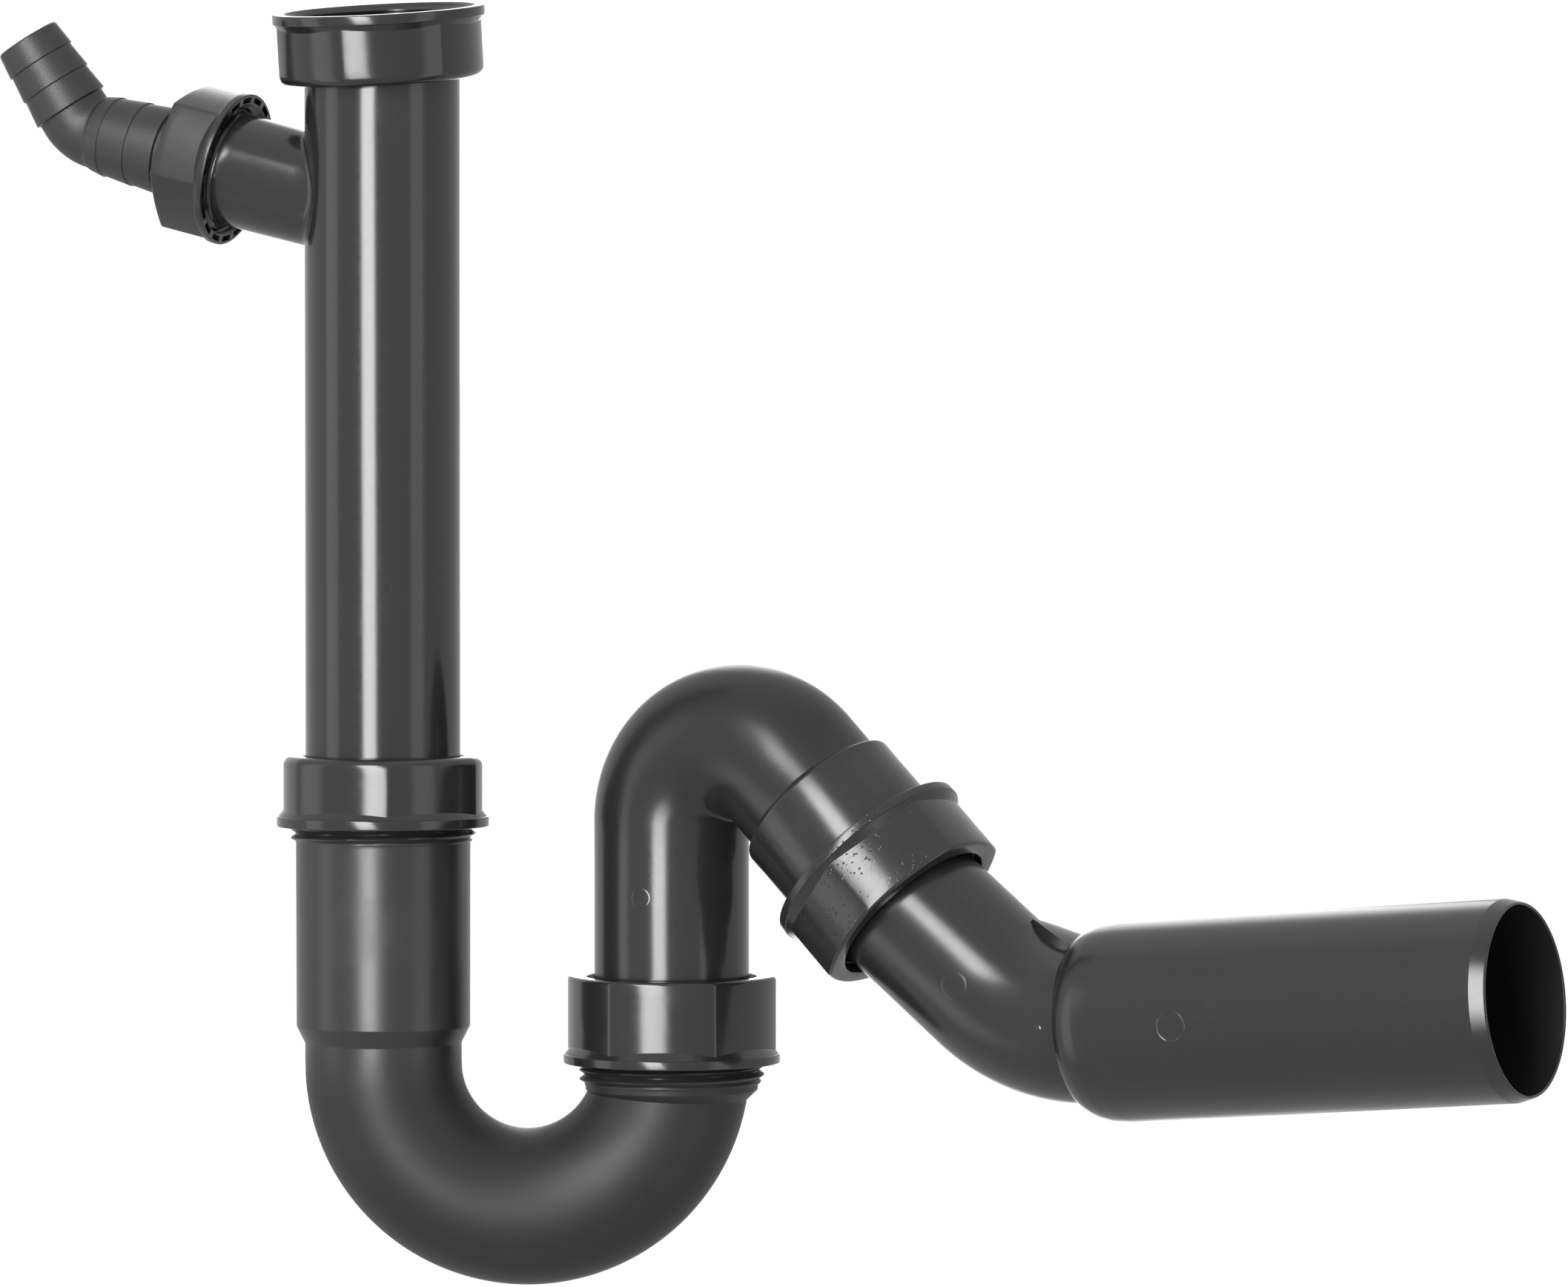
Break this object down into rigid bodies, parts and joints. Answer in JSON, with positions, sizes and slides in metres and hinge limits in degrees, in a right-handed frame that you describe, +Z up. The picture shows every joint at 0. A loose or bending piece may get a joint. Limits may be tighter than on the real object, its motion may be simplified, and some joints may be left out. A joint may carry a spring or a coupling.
{
  "type": "p trap",
  "caption": "Tubular sink drain trap: union-nut inlet tube with an appliance hose branch, U bend, swivelling upper bend and angled outlet spigot.",
  "frame": {"origin": "centre of the bounding box in plan, at the level of the bottom of the U bend", "axes": "+Z up along the inlet tube, towards the sink; +X from the inlet tube to the U bend's outlet leg; the outlet pipe is swung 30 degrees from +X towards -Y at rest"},
  "size_m": [0.3962, 0.1796, 0.3324],
  "materials": {
    "tube_plastic": "gloss",
    "bend_plastic": "satin",
    "nut_plastic": "satin",
    "nozzle_plastic": "matte",
    "seal_rubber": "matte",
    "ring_plastic": "satin"
  },
  "bodies": {
    "inlet_tube": {"inlet_tube": "tube_plastic", "inlet_gasket": "seal_rubber"},
    "inlet_nut": {"inlet_union_nut": "nut_plastic"},
    "tube_seal": {"tube_seal": "seal_rubber"},
    "trap_bend": {"trap_bend": "bend_plastic"},
    "tube_slip_ring": {"tube_slip_ring": "ring_plastic"},
    "tube_nut": {"tube_nut": "nut_plastic"},
    "arm_seal": {"arm_seal": "seal_rubber"},
    "upper_bend": {"upper_bend": "bend_plastic"},
    "arm_slip_ring": {"arm_slip_ring": "ring_plastic"},
    "arm_nut": {"arm_nut": "nut_plastic"},
    "outlet_seal": {"outlet_seal": "seal_rubber"},
    "outlet_pipe": {"outlet_pipe": "bend_plastic"},
    "outlet_slip_ring": {"outlet_slip_ring": "ring_plastic"},
    "outlet_nut": {"outlet_nut": "nut_plastic"},
    "branch_gasket": {"branch_gasket": "seal_rubber"},
    "branch_nut": {"branch_union_nut": "nut_plastic"},
    "hose_nozzle": {"hose_nozzle": "nozzle_plastic"}
  },
  "joints": [
    {"name": "inlet_nut_spin", "type": "hinge", "parent": "inlet_tube", "child": "inlet_nut", "pos_m": [-0.09655, 0.051, 0.31232], "axis": [-0.0506, -0.12, 0.9915], "continuous": true},
    {"name": "tube_telescope", "type": "slide", "parent": "inlet_tube", "child": "tube_seal", "axis": [0, 0, 1], "range_m": [-0.04, 0.006]},
    {"name": "tube_swivel", "type": "hinge", "parent": "tube_seal", "child": "trap_bend", "pos_m": [-0.09655, 0.051, 0.12932], "axis": [0, 0, 1], "continuous": true},
    {"name": "tube_nut_travel", "type": "slide", "parent": "trap_bend", "child": "tube_slip_ring", "axis": [0, 0, 1], "range_m": [0, 0.01039]},
    {"name": "tube_nut_spin", "type": "hinge", "parent": "tube_slip_ring", "child": "tube_nut", "pos_m": [-0.09655, 0.051, 0.12932], "axis": [0, 0, 1], "range_deg": [0, 1620]},
    {"name": "arm_swivel", "type": "hinge", "parent": "trap_bend", "child": "arm_seal", "pos_m": [-0.02211, 0.051, 0.07242], "axis": [0, 0, 1], "range_deg": [-95, 155]},
    {"name": "arm_telescope", "type": "slide", "parent": "arm_seal", "child": "upper_bend", "axis": [0, 0, 1], "range_m": [0, 0.012]},
    {"name": "arm_nut_travel", "type": "slide", "parent": "trap_bend", "child": "arm_slip_ring", "axis": [0, 0, 1], "range_m": [0, 0.01154]},
    {"name": "arm_nut_spin", "type": "hinge", "parent": "arm_slip_ring", "child": "arm_nut", "pos_m": [-0.02211, 0.051, 0.07242], "axis": [0, 0, 1], "range_deg": [0, 1800]},
    {"name": "outlet_swivel", "type": "hinge", "parent": "upper_bend", "child": "outlet_seal", "pos_m": [0.03523, 0.01789, 0.10344], "axis": [0.6124, -0.3536, -0.7071], "continuous": true},
    {"name": "outlet_telescope", "type": "slide", "parent": "outlet_seal", "child": "outlet_pipe", "axis": [0.6124, -0.3536, -0.7071], "range_m": [0, 0.015]},
    {"name": "outlet_nut_travel", "type": "slide", "parent": "upper_bend", "child": "outlet_slip_ring", "axis": [0.6124, -0.3536, -0.7071], "range_m": [0, 0.00577]},
    {"name": "outlet_nut_spin", "type": "hinge", "parent": "outlet_slip_ring", "child": "outlet_nut", "pos_m": [0.03523, 0.01789, 0.10344], "axis": [0.6124, -0.3536, -0.7071], "range_deg": [0, 900]},
    {"name": "branch_nut_travel", "type": "slide", "parent": "inlet_tube", "child": "branch_gasket", "axis": [-0.9104, 0.3313, 0.2478], "range_m": [0, 0.00577]},
    {"name": "branch_nut_spin", "type": "hinge", "parent": "branch_gasket", "child": "branch_nut", "pos_m": [-0.14298, 0.06789, 0.29046], "axis": [-0.9104, 0.3313, 0.2478], "range_deg": [0, 900]},
    {"name": "nozzle_swivel", "type": "hinge", "parent": "branch_gasket", "child": "hose_nozzle", "pos_m": [-0.14298, 0.06789, 0.29046], "axis": [-0.9104, 0.3313, 0.2478], "continuous": true}
  ],
  "couplings": [
    {"joint": "tube_nut_spin", "follows": "tube_nut_travel", "rad_per_m": 2721.2},
    {"joint": "arm_nut_spin", "follows": "arm_nut_travel", "rad_per_m": 2721.2},
    {"joint": "outlet_nut_spin", "follows": "outlet_nut_travel", "rad_per_m": 2721.2},
    {"joint": "branch_nut_spin", "follows": "branch_nut_travel", "rad_per_m": 2721.2}
  ]
}
